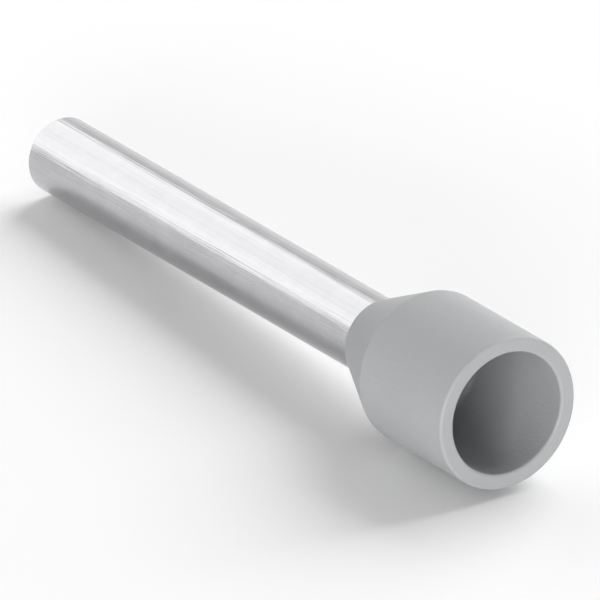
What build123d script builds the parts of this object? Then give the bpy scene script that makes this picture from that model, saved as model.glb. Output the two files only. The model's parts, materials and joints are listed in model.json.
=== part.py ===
from build123d import *
from math import asin, atan2, cos, hypot, radians, sin, tan
import os

# An insulated bootlace ferrule for 2.5 mm2 stranded wire, with the long 18 mm pin. Millimetres.
# It lies on a surface as it comes to rest: on the barrel's cut end and the collar's shoulder.
# Profiles are drawn as (s, r): s along the ferrule from the barrel's cut end, r out from its axis.

# Barrel: drawn copper tube, cut square, its wire end flared.
pin_length = 18.0           # bare tube, from the cut end to the collar's neck
bore_diameter = 2.2
barrel_wall = 0.15
cut_edge_radius = 0.04      # both edges of the cut end and of the flare's rim
flare_growth = 0.45         # how far the flare's rim stands out from the bore, on the radius
flare_bend_radius = 0.6     # on the bore's side

# Collar: one moulding, gripping the barrel and trapping its flare.
collar_length = 7.0
mouth_diameter = 4.0        # straight bore for the wire's insulation
collar_wall = 0.5
neck_grip = 0.5             # straight hold on the barrel, from the neck's edge to the flare
neck_wall = 0.08            # the moulding runs out thin at the neck
neck_edge_radius = 0.03
cone_half_angle = 24.5      # the cone outside, and parallel with it the flare and the funnel inside
shoulder_radius = 0.2
mouth_edge_radius = 0.1
funnel_edge_radius = 0.4    # where the funnel meets the straight bore
seat_clearance = 0.01       # between the barrel and the collar all round

bore_radius = bore_diameter / 2
barrel_radius = bore_radius + barrel_wall
mouth_radius = mouth_diameter / 2
collar_radius = mouth_radius + collar_wall
neck_radius = barrel_radius + seat_clearance + neck_wall
overall_length = pin_length + collar_length
cone_slope = tan(radians(cone_half_angle))
shoulder_s = pin_length + (collar_radius - neck_radius) / cone_slope
flare_s = pin_length + neck_grip
rim_s = flare_s + flare_growth / cone_slope
funnel_top_s = flare_s + (mouth_radius - bore_radius) / cone_slope

# At rest the floor line touches two rounded edges seen in section: the cut end's and the shoulder's.
# Both are circles (centre s, centre r, radius), and the line that touches both gives the tilt.
end_s, end_r = cut_edge_radius, barrel_radius - cut_edge_radius
hold_s = shoulder_s + shoulder_radius * tan(radians(cone_half_angle) / 2)
hold_r = collar_radius - shoulder_radius
centre_distance = hypot(hold_s - end_s, hold_r - end_r)
tilt = atan2(hold_r - end_r, hold_s - end_s) + asin((shoulder_radius - cut_edge_radius) / centre_distance)

# The origin is under the middle of the ferrule's length, on that surface, with the mouth towards +X.
# Profiles lie in the section plane that looks straight down on the resting ferrule.
end_height = end_r * cos(tilt) - end_s * sin(tilt) + cut_edge_radius
length_on_floor = overall_length * cos(tilt) + (collar_radius - barrel_radius) * sin(tilt)
section = Plane(
    origin=(-length_on_floor / 2, 0, end_height),
    x_dir=(cos(tilt), 0, sin(tilt)),
    z_dir=(-sin(tilt), 0, cos(tilt)),
)
ferrule_axis = Axis(section.origin, section.x_dir)

# The tube's wall in section, with its ends still sharp: the barrel and the collar's seat both come from it.
with BuildSketch(section) as tube_wall:
    with BuildLine():
        FilletPolyline(
            (0, bore_radius),
            (flare_s, bore_radius),
            (rim_s, bore_radius + flare_growth),
            radius=flare_bend_radius,
        )
        offset(amount=barrel_wall, side=Side.LEFT)
    make_face()

with BuildPart() as barrel:
    with BuildSketch(section) as barrel_section:
        add(tube_wall.sketch_local)
        cut_end = barrel_section.vertices().group_by(Axis.X)[0]
        rim = barrel_section.vertices().sort_by(Axis.Y)[-2:]
        fillet(cut_end + rim, cut_edge_radius)
    revolve(axis=ferrule_axis)

with BuildPart() as collar:
    with BuildSketch(section) as collar_section:
        with BuildLine():
            Polyline(
                (pin_length, 0),
                (pin_length, neck_radius),
                (shoulder_s, collar_radius),
                (overall_length, collar_radius),
                (overall_length, 0),
                close=True,
            )
        make_face()
        # The wire's way through, one smooth line: the barrel's bore, its flare, the funnel, the straight bore.
        with BuildLine():
            way_through = FilletPolyline(
                (0, bore_radius),
                (flare_s, bore_radius),
                (funnel_top_s, mouth_radius),
                (overall_length, mouth_radius),
                radius=[flare_bend_radius, funnel_edge_radius],
            )
            Polyline(way_through @ 1, (overall_length, 0), (0, 0), way_through @ 0)
        make_face(mode=Mode.SUBTRACT)
        # The seat for the tube and its flare. The funnel carries on flush from the flare's rim.
        with BuildSketch(mode=Mode.SUBTRACT):
            add(tube_wall.sketch_local)
            offset(amount=seat_clearance, kind=Kind.INTERSECTION)
        for corner, radius in (
            ((pin_length, neck_radius), neck_edge_radius),
            ((shoulder_s, collar_radius), shoulder_radius),
            ((overall_length, collar_radius), mouth_edge_radius),
            ((overall_length, mouth_radius), mouth_edge_radius),
        ):
            fillet(collar_section.vertices().sort_by_distance(corner)[0], radius)
    revolve(axis=ferrule_axis)

barrel.part.label = "barrel"
collar.part.label = "collar"

os.makedirs("parts", exist_ok=True)
export_step(barrel.part, "parts/barrel.step")
export_step(collar.part, "parts/collar.step")
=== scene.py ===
# The looks of a wire ferrule as it lies at rest: a tinned copper tube in its moulded plastic collar.

import json
import math

import bmesh
import bpy
from mathutils import Matrix, Quaternion, Vector


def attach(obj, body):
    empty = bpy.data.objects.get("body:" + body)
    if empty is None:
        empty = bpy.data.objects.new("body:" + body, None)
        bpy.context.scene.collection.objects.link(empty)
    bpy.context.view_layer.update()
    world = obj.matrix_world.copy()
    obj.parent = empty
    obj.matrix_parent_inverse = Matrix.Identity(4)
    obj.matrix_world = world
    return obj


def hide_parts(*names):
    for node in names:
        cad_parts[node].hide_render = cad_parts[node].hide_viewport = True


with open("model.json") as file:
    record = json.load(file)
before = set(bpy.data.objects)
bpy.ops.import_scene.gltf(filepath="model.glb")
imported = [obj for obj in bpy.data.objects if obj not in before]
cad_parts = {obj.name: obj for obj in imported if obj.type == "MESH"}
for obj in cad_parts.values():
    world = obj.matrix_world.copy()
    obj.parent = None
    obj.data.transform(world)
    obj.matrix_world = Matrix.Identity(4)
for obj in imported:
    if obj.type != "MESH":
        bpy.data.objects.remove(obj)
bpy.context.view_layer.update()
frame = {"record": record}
mm = 0.001

# The record's mounts give the ferrule's own axis, its bores and its pin.
mounts = {mount["name"]: mount for mount in frame["record"]["mounts"]}
pin = mounts["terminal_pin"]
alongFerrule = -Vector(pin["axis"]).normalized()  # from the cut end to the mouth
pinLength = pin["dims"]["length_mm"]
pinRadius = pin["dims"]["r_mm"]
boreRadius = mounts["wire_bore"]["dims"]["r_mm"]
mouthRadius = mounts["insulation_bore"]["dims"]["r_mm"]
cutEnd = Vector(pin["pos_m"]) - alongFerrule * pinLength * mm / 2
turnedToFerrule = alongFerrule.to_track_quat("Z", "Y")
onFerrule = Matrix.Translation(cutEnd) @ turnedToFerrule.to_matrix().to_4x4() @ Matrix.Scale(mm, 4)
print("frame: ferrule axis", tuple(round(v, 4) for v in alongFerrule))


# Modelling helpers

def deselectAll():
    bpy.ops.object.select_all(action="DESELECT")


def selectRing(piece, s, r):
    # the edges of the ring that lies s along the axis and r out from it, in millimetres
    bpy.ops.mesh.select_all(action="DESELECT")
    mesh = bmesh.from_edit_mesh(piece.data)
    near = 0.002  # no two rings lie this close
    for edge in mesh.edges:
        if all(abs(v.co.z - s) < near and abs(v.co.xy.length - r) < near for v in edge.verts):
            edge.select_set(True)
    bmesh.update_edit_mesh(piece.data)


def turnPiece(name, outline, sides):
    # A ring is drawn out along +Z from corner to corner of the outline, closed on itself, and rounded.
    # A corner is (s along, r out, rounding radius, steps), in millimetres, and a sharp one ends in 0, 0.
    deselectAll()
    s, r = outline[0][:2]
    bpy.ops.mesh.primitive_circle_add(vertices=sides, radius=r, fill_type="NOTHING", location=(0, 0, 0))
    piece = bpy.context.object
    piece.name = piece.data.name = name
    bpy.ops.object.mode_set(mode="EDIT")
    bpy.ops.mesh.select_mode(type="EDGE")
    bpy.ops.mesh.select_all(action="SELECT")
    bpy.ops.transform.translate(value=(0, 0, s))
    for nextS, nextR, *_ in outline[1:]:
        bpy.ops.mesh.extrude_region_move(TRANSFORM_OT_translate={"value": (0, 0, nextS - s)})
        bpy.ops.transform.resize(value=(nextR / r, nextR / r, 1), center_override=(0, 0, 0))
        s, r = nextS, nextR
    bpy.ops.mesh.select_all(action="DESELECT")
    bpy.ops.mesh.select_non_manifold()
    bpy.ops.mesh.bridge_edge_loops()
    for i, (s, r, rounding, steps) in enumerate(outline):
        if rounding:
            before, after = outline[i - 1], outline[(i + 1) % len(outline)]
            comingIn = Vector((s - before[0], r - before[1]))
            goingOut = Vector((after[0] - s, after[1] - r))
            selectRing(piece, s, r)
            bpy.ops.mesh.bevel(offset=rounding * math.tan(comingIn.angle(goingOut) / 2), segments=steps,
                               profile=0.5, affect="EDGES", clamp_overlap=False)
    bpy.ops.mesh.select_all(action="SELECT")
    bpy.ops.mesh.normals_make_consistent(inside=False)
    bpy.ops.object.mode_set(mode="OBJECT")
    bpy.ops.object.shade_smooth()
    evenShading = piece.modifiers.new("evenShading", "WEIGHTED_NORMAL")
    evenShading.weight = 100  # the most, so that flats look flat beside their rounded edges
    bpy.ops.object.modifier_apply(modifier="evenShading")
    piece.matrix_world = onFerrule
    bpy.ops.object.transform_apply(location=True, rotation=True, scale=True)
    print("piece:", name, len(piece.data.polygons), "faces")
    return piece


# Material helpers

def toLinear(hexColour):
    # an sRGB hex value as the linear colour that the shaders take
    channels = [int(hexColour[i:i + 2], 16) / 255 for i in (1, 3, 5)]
    return [c / 12.92 if c <= 0.04045 else ((c + 0.055) / 1.055) ** 2.4 for c in channels] + [1.0]


def addNode(tree, kind, inputs=None, **settings):
    # Inputs go by socket name or number, and each is a value or another node's output. A Mix node's
    # factor and two inputs are its sockets 0, 2 and 3 for numbers, and 0, 6 and 7 for colours.
    node = tree.nodes.new(kind)
    for name, value in settings.items():
        setattr(node, name, value)
    for name, value in (inputs or {}).items():
        if isinstance(value, bpy.types.NodeSocket):
            tree.links.new(value, node.inputs[name])
        else:
            node.inputs[name].default_value = value
    return node


def newMaterial(name):
    material = bpy.data.materials.new(name)
    material.use_nodes = True
    tree = material.node_tree
    tree.nodes.clear()
    return material, tree


def ferruleMillimetres(tree):
    # Object coordinates turned to the ferrule: z in millimetres from its cut end, x and y across it
    place = addNode(tree, "ShaderNodeTexCoord")
    return addNode(tree, "ShaderNodeMapping", {
        "Vector": place.outputs["Object"],
        "Location": cutEnd,
        "Rotation": turnedToFerrule.to_euler(),
        "Scale": (mm, mm, mm),
    }, vector_type="TEXTURE").outputs["Vector"]


noiseRange = (0.3, 0.7)  # nearly all of a noise texture's values lie between these


# The barrel: a drawn copper tube with its wire end flared

barrelSizes = {          # millimetres
    "wall": pinRadius - boreRadius,
    "cutEdge": 0.04,     # both edges of the cut end and of the flare's rim
    "gripLength": 0.5,   # hidden in the collar's neck, before the flare
    "flareGrowth": 0.45,
    "flareAngle": 24.5,  # from the axis, in degrees
    "flareBend": 0.6,    # on the bore's side
    "edgeSteps": 4,      # faces across each rounded edge
    "bendSteps": 8,
    "sides": 192,
}


def makeBarrel(sizes):
    wall, cutEdge, bend = sizes["wall"], sizes["cutEdge"], sizes["flareBend"]
    edgeSteps, bendSteps = sizes["edgeSteps"], sizes["bendSteps"]
    lean = math.radians(sizes["flareAngle"])
    flareS = pinLength + sizes["gripLength"]
    rimS, rimR = flareS + sizes["flareGrowth"] / math.tan(lean), boreRadius + sizes["flareGrowth"]
    outsideFlareS = flareS - wall * math.tan(lean / 2)  # the wall keeps its thickness round the bend
    outline = [
        (0, boreRadius, cutEdge, edgeSteps),
        (0, pinRadius, cutEdge, edgeSteps),
        (outsideFlareS, pinRadius, bend - wall, bendSteps),
        (rimS - wall * math.sin(lean), rimR + wall * math.cos(lean), cutEdge, edgeSteps),
        (rimS, rimR, cutEdge, edgeSteps),
        (flareS, boreRadius, bend, bendSteps),
    ]
    return turnPiece("drawnTube", outline, sizes["sides"])


# The collar: one moulding, gripping the tube and trapping its flare

collarSizes = {            # millimetres
    "length": 7.0,
    "wall": 0.5,
    "neckWall": 0.08,      # the moulding runs out thin at the neck
    "neckEdge": 0.03,
    "coneAngle": 24.5,     # from the axis, in degrees
    "shoulderEdge": 0.2,
    "mouthEdge": 0.1,
    "funnelEdge": 0.4,     # where the funnel meets the straight bore
    "seatClearance": 0.01,
    "edgeSteps": 6,        # faces across each rounded edge
    "bendSteps": 8,
    "sides": 192,
}


def makeCollar(sizes, tube):
    clear, edgeSteps, bendSteps = sizes["seatClearance"], sizes["edgeSteps"], sizes["bendSteps"]
    lean = math.radians(sizes["coneAngle"])
    slope = math.tan(lean)
    neckR = pinRadius + clear + sizes["neckWall"]
    outerR = mouthRadius + sizes["wall"]
    shoulderS = pinLength + (outerR - neckR) / slope
    mouthS = pinLength + sizes["length"]
    flareS = pinLength + tube["gripLength"]
    funnelTopS = flareS + (mouthRadius - boreRadius) / slope
    # the seat runs parallel with the tube's outside and closes on the funnel just past the flare's rim
    seatOut = tube["wall"] + clear
    seatFlareS = flareS - seatOut * math.tan(lean / 2)
    rimS = flareS + tube["flareGrowth"] / slope + clear * math.cos(lean)
    rimR = boreRadius + tube["flareGrowth"] + clear * math.sin(lean)
    outline = [
        (pinLength, pinRadius + clear, 0, 0),
        (pinLength, neckR, sizes["neckEdge"], edgeSteps),
        (shoulderS, outerR, sizes["shoulderEdge"], edgeSteps),
        (mouthS, outerR, sizes["mouthEdge"], edgeSteps),
        (mouthS, mouthRadius, sizes["mouthEdge"], edgeSteps),
        (funnelTopS, mouthRadius, sizes["funnelEdge"], bendSteps),
        (rimS, rimR, 0, 0),
        (rimS - seatOut * math.sin(lean), rimR + seatOut * math.cos(lean), 0, 0),
        (seatFlareS, pinRadius + clear, tube["flareBend"] - seatOut, bendSteps),
    ]
    return turnPiece("mouldedCollar", outline, sizes["sides"])


barrel = makeBarrel(barrelSizes)
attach(barrel, "root")
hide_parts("barrel")

collar = makeCollar(collarSizes, barrelSizes)
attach(collar, "root")
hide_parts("collar")


# Tin plate on drawn copper tube

tinLook = {
    "tints": ("#A6A6A8", "#CECED0"),
    "roughness": (0.14, 0.26),
    "boreRoughness": 0.38,   # inside, where no die has smoothed it and the plate lies dull
    "drawLines": 0.08,       # millimetres apart; real ones are about 0.01 and would not show
    "drawLineRun": 6.0,      # millimetres that a line runs
    "drawLineDepth": 0.014,  # millimetres, coarser than the real ones in the same measure
    "clouds": 1.05,          # millimetres across, where the plate is thicker or rubbed
    "lineShare": 0.45,       # how far gloss and tint follow the lines; the rest is clouds
}


def insideShare(tree, place, sizes):
    # 1 on the inside of the tube's wall and its flare, 0 on the outside
    flareS = pinLength + sizes["gripLength"]
    rimS = flareS + sizes["flareGrowth"] / math.tan(math.radians(sizes["flareAngle"]))
    along = addNode(tree, "ShaderNodeSeparateXYZ", {"Vector": place})
    across = addNode(tree, "ShaderNodeMapping", {"Vector": place, "Scale": (1, 1, 0)})
    fromAxis = addNode(tree, "ShaderNodeVectorMath", {0: across.outputs["Vector"]}, operation="LENGTH")
    growth = addNode(tree, "ShaderNodeMapRange", {
        "Value": along.outputs["Z"], "From Min": flareS, "From Max": rimS,
        "To Min": 0.0, "To Max": sizes["flareGrowth"]})
    inWall = addNode(tree, "ShaderNodeMath", {
        0: fromAxis.outputs["Value"], 1: growth.outputs["Result"]}, operation="SUBTRACT")
    return addNode(tree, "ShaderNodeMapRange", {
        "Value": inWall.outputs[0], "From Min": boreRadius, "From Max": boreRadius + sizes["wall"],
        "To Min": 1.0, "To Max": 0.0}).outputs["Result"]


def makeTin(look, sizes):
    # Bright drawn tube under a matte tin plate: a satin silver with soft streaks along its length,
    # faint lines from the drawing die, and a cloudy gloss where the plate is thicker or rubbed.
    material, tree = newMaterial("matteTinOnDrawnCopper")
    place = ferruleMillimetres(tree)
    linesAcross, linesAlong = 1 / look["drawLines"], 1 / look["drawLineRun"]
    stretched = addNode(tree, "ShaderNodeMapping", {
        "Vector": place, "Scale": (linesAcross, linesAcross, linesAlong)})
    lines = addNode(tree, "ShaderNodeTexNoise", {
        "Vector": stretched.outputs["Vector"], "Scale": 1.0, "Detail": 2.0, "Roughness": 0.6})
    clouds = addNode(tree, "ShaderNodeTexNoise", {
        "Vector": place, "Scale": 1 / look["clouds"], "Detail": 4.0, "Roughness": 0.65})
    both = addNode(tree, "ShaderNodeMix", {
        0: look["lineShare"], 2: clouds.outputs["Fac"], 3: lines.outputs["Fac"]}, data_type="FLOAT")
    gloss = addNode(tree, "ShaderNodeMapRange", {
        "Value": both.outputs[0], "From Min": noiseRange[0], "From Max": noiseRange[1],
        "To Min": look["roughness"][0], "To Max": look["roughness"][1]})
    roughness = addNode(tree, "ShaderNodeMix", {
        0: insideShare(tree, place, sizes), 2: gloss.outputs["Result"], 3: look["boreRoughness"]},
        data_type="FLOAT")
    relief = addNode(tree, "ShaderNodeBump", {
        "Strength": 1.0, "Distance": look["drawLineDepth"] * mm, "Height": lines.outputs["Fac"]})
    darker, lighter = (toLinear(hexColour) for hexColour in look["tints"])
    tint = addNode(tree, "ShaderNodeMix", {
        0: both.outputs[0], 6: darker, 7: lighter}, data_type="RGBA")
    metal = addNode(tree, "ShaderNodeBsdfPrincipled", {
        "Base Color": tint.outputs[2], "Metallic": 1.0, "Roughness": roughness.outputs[0],
        "Normal": relief.outputs["Normal"]})
    addNode(tree, "ShaderNodeOutputMaterial", {"Surface": metal.outputs["BSDF"]})
    return material


# Moulded grey polypropylene

plasticLook = {
    "tints": ("#A3A4A6", "#ABACAD"),
    "roughness": (0.44, 0.54),
    "ior": 1.49,
    "sparkGrain": 0.10,   # millimetres; a spark-eroded mould's is about 0.03 and would not show
    "sparkDepth": 0.016,  # millimetres, coarser in the same measure
    "flowMarks": 1.65,    # millimetres across, where the melt ran and froze a little unevenly
}


def makePlastic(look):
    # Injection moulded from a spark-eroded cavity: an even satin-matte grey with a fine pebbled grain.
    material, tree = newMaterial("mouldedGreyPolypropylene")
    place = ferruleMillimetres(tree)
    grain = addNode(tree, "ShaderNodeTexNoise", {
        "Vector": place, "Scale": 1 / look["sparkGrain"], "Detail": 2.0, "Roughness": 0.55})
    flow = addNode(tree, "ShaderNodeTexNoise", {
        "Vector": place, "Scale": 1 / look["flowMarks"], "Detail": 3.0, "Roughness": 0.6})
    gloss = addNode(tree, "ShaderNodeMapRange", {
        "Value": flow.outputs["Fac"], "From Min": noiseRange[0], "From Max": noiseRange[1],
        "To Min": look["roughness"][0], "To Max": look["roughness"][1]})
    relief = addNode(tree, "ShaderNodeBump", {
        "Strength": 1.0, "Distance": look["sparkDepth"] * mm, "Height": grain.outputs["Fac"]})
    darker, lighter = (toLinear(hexColour) for hexColour in look["tints"])
    tint = addNode(tree, "ShaderNodeMix", {
        0: flow.outputs["Fac"], 6: darker, 7: lighter}, data_type="RGBA")
    plastic = addNode(tree, "ShaderNodeBsdfPrincipled", {
        "Base Color": tint.outputs[2], "Roughness": gloss.outputs["Result"], "IOR": look["ior"],
        "Normal": relief.outputs["Normal"]})
    addNode(tree, "ShaderNodeOutputMaterial", {"Surface": plastic.outputs["BSDF"]})
    return material


barrel.data.materials.append(makeTin(tinLook, barrelSizes))
collar.data.materials.append(makePlastic(plasticLook))
print("materials: tin plate and polypropylene")


# Floor, world and lamps

stageLook = {
    "floorSize": 4.0,             # metres
    "floorColour": "#FEFEFE",
    "nearFloor": (0.010, 0.032),  # metres from the origin, where the lit floor fades to plain white
    "worldFill": 0.30,            # the room's light on the object and the floor
    "overhead": 0.40,             # the white that metal mirrors at eye level falls to this overhead
}


def whiteForLooking(tree):
    # 1 for rays from the camera and for those that metal or glass sends on, else 0: past a matt surface
    # a ray brings light, and the white would add to it
    path = addNode(tree, "ShaderNodeLightPath")
    reflected = addNode(tree, "ShaderNodeMath", {
        0: path.outputs["Is Camera Ray"], 1: path.outputs["Is Glossy Ray"]}, operation="MAXIMUM")
    looking = addNode(tree, "ShaderNodeMath", {
        0: reflected.outputs[0], 1: path.outputs["Is Transmission Ray"]}, operation="MAXIMUM")
    beforeMatt = addNode(tree, "ShaderNodeMath", {
        0: path.outputs["Diffuse Depth"], 1: 0.5}, operation="LESS_THAN")
    return addNode(tree, "ShaderNodeMath", {
        0: looking.outputs[0], 1: beforeMatt.outputs[0]}, operation="MULTIPLY").outputs[0]


def makeFloor(look):
    deselectAll()
    bpy.ops.mesh.primitive_plane_add(size=look["floorSize"], location=(0, 0, 0))
    floor = bpy.context.object
    floor.name = floor.data.name = "paleFloor"
    # Matt white card: it takes the soft shadow and shows no shine, and it has no edge in the distance.
    material, tree = newMaterial("paleMattFloor")
    place = addNode(tree, "ShaderNodeTexCoord")
    away = addNode(tree, "ShaderNodeVectorMath", {0: place.outputs["Object"]}, operation="LENGTH")
    fadeStart, fadeEnd = look["nearFloor"]
    fade = addNode(tree, "ShaderNodeMapRange", {
        "Value": away.outputs["Value"], "From Min": fadeStart, "From Max": fadeEnd},
        interpolation_type="SMOOTHSTEP")
    white = addNode(tree, "ShaderNodeMath", {
        0: fade.outputs["Result"], 1: whiteForLooking(tree)}, operation="MULTIPLY")
    matt = addNode(tree, "ShaderNodeBsdfDiffuse", {"Color": toLinear(look["floorColour"])})
    plain = addNode(tree, "ShaderNodeEmission", {"Color": (1, 1, 1, 1), "Strength": 1.0})
    mixed = addNode(tree, "ShaderNodeMixShader", {
        0: white.outputs[0], 1: matt.outputs["BSDF"], 2: plain.outputs["Emission"]})
    addNode(tree, "ShaderNodeOutputMaterial", {"Surface": mixed.outputs["Shader"]})
    floor.data.materials.append(material)


def makeWorld(look):
    world = bpy.data.worlds.new("whiteRoom")
    world.use_nodes = True
    tree = world.node_tree
    tree.nodes.clear()
    # what is seen is white at eye level and greyer overhead, which gives the metal its shades
    direction = addNode(tree, "ShaderNodeTexCoord")
    height = addNode(tree, "ShaderNodeSeparateXYZ", {"Vector": direction.outputs["Generated"]})
    seen = addNode(tree, "ShaderNodeMapRange", {
        "Value": height.outputs["Z"], "To Min": 1.0, "To Max": look["overhead"]})
    strength = addNode(tree, "ShaderNodeMapRange", {
        "Value": whiteForLooking(tree), "To Min": look["worldFill"], "To Max": seen.outputs["Result"]})
    sky = addNode(tree, "ShaderNodeBackground", {
        "Color": (1, 1, 1, 1), "Strength": strength.outputs["Result"]})
    addNode(tree, "ShaderNodeOutputWorld", {"Surface": sky.outputs["Background"]})
    bpy.context.scene.world = world


# Azimuth anticlockwise from +X, elevation, and the softbox's turn about the line to it, in degrees.
# Distance, width and height in metres. The glow is what it adds in a mirror, where the room is 1.
lamps = {
    "keySoftbox": {"azimuth": 104, "elevation": 38, "turn": 0,
                   "distance": 0.5, "size": (0.44, 0.44), "glow": 4.3},
    "tubeSoftbox": {"azimuth": -173, "elevation": 27, "turn": -14,
                    "distance": 0.5, "size": (0.62, 0.27), "glow": 1.15},
    "mouthSoftbox": {"azimuth": -41, "elevation": 8, "turn": 0,
                     "distance": 0.5, "size": (0.36, 0.13), "glow": 13.0},
}


def makeLamp(name, lamp):
    turn, rise = math.radians(lamp["azimuth"]), math.radians(lamp["elevation"])
    towards = Vector((math.cos(turn) * math.cos(rise), math.sin(turn) * math.cos(rise), math.sin(rise)))
    data = bpy.data.lights.new(name, "AREA")
    data.shape = "RECTANGLE"
    data.size, data.size_y = lamp["size"]
    data.energy = lamp["glow"] * math.pi * data.size * data.size_y  # the watts that give that glow
    softbox = bpy.data.objects.new(name, data)
    bpy.context.scene.collection.objects.link(softbox)
    softbox.location = towards * lamp["distance"]
    turned = Quaternion(towards, math.radians(lamp["turn"])) @ towards.to_track_quat("Z", "Y")
    softbox.rotation_euler = turned.to_euler()


makeFloor(stageLook)
makeWorld(stageLook)
for lampName, lampValues in lamps.items():
    makeLamp(lampName, lampValues)
print("stage: floor, world and", len(lamps), "softboxes")


# Camera, at the photo's viewing angle

viewing = {
    "azimuth": -33.84,      # degrees anticlockwise from +X, towards the viewer
    "elevation": 27.05,
    "imagePixels": 600,
    "pixelsPerMm": 32.15,
    "middlePixel": (281.85, 282.6),  # where the middle of the ferrule's axis falls, from the top left
    "lens": 1500,           # millimetres: so long that the view has next to no perspective
    "sensor": 36,
}


def makeCamera(view):
    turn, rise = math.radians(view["azimuth"]), math.radians(view["elevation"])
    toViewer = Vector((math.cos(rise) * math.cos(turn), math.cos(rise) * math.sin(turn), math.sin(rise)))
    right = Vector((-math.sin(turn), math.cos(turn), 0))
    up = toViewer.cross(right)
    middle = cutEnd + alongFerrule * (pinLength + collarSizes["length"]) / 2 * mm
    half = view["imagePixels"] / 2
    offRight = (half - view["middlePixel"][0]) / view["pixelsPerMm"] * mm
    offUp = (view["middlePixel"][1] - half) / view["pixelsPerMm"] * mm
    away = view["imagePixels"] / view["pixelsPerMm"] * mm * view["lens"] / view["sensor"]
    data = bpy.data.cameras.new("photoView")
    data.type = "PERSP"
    data.lens = view["lens"]
    data.sensor_width = view["sensor"]
    data.clip_start, data.clip_end = 0.01, 10.0
    camera = bpy.data.objects.new("photoView", data)
    bpy.context.scene.collection.objects.link(camera)
    camera.location = middle + right * offRight + up * offUp + toViewer * away
    camera.rotation_euler = toViewer.to_track_quat("Z", "Y").to_euler()
    bpy.context.scene.camera = camera


makeCamera(viewing)
print("camera: azimuth", viewing["azimuth"], "elevation", viewing["elevation"])
bpy.context.scene.view_settings.view_transform = "Standard"
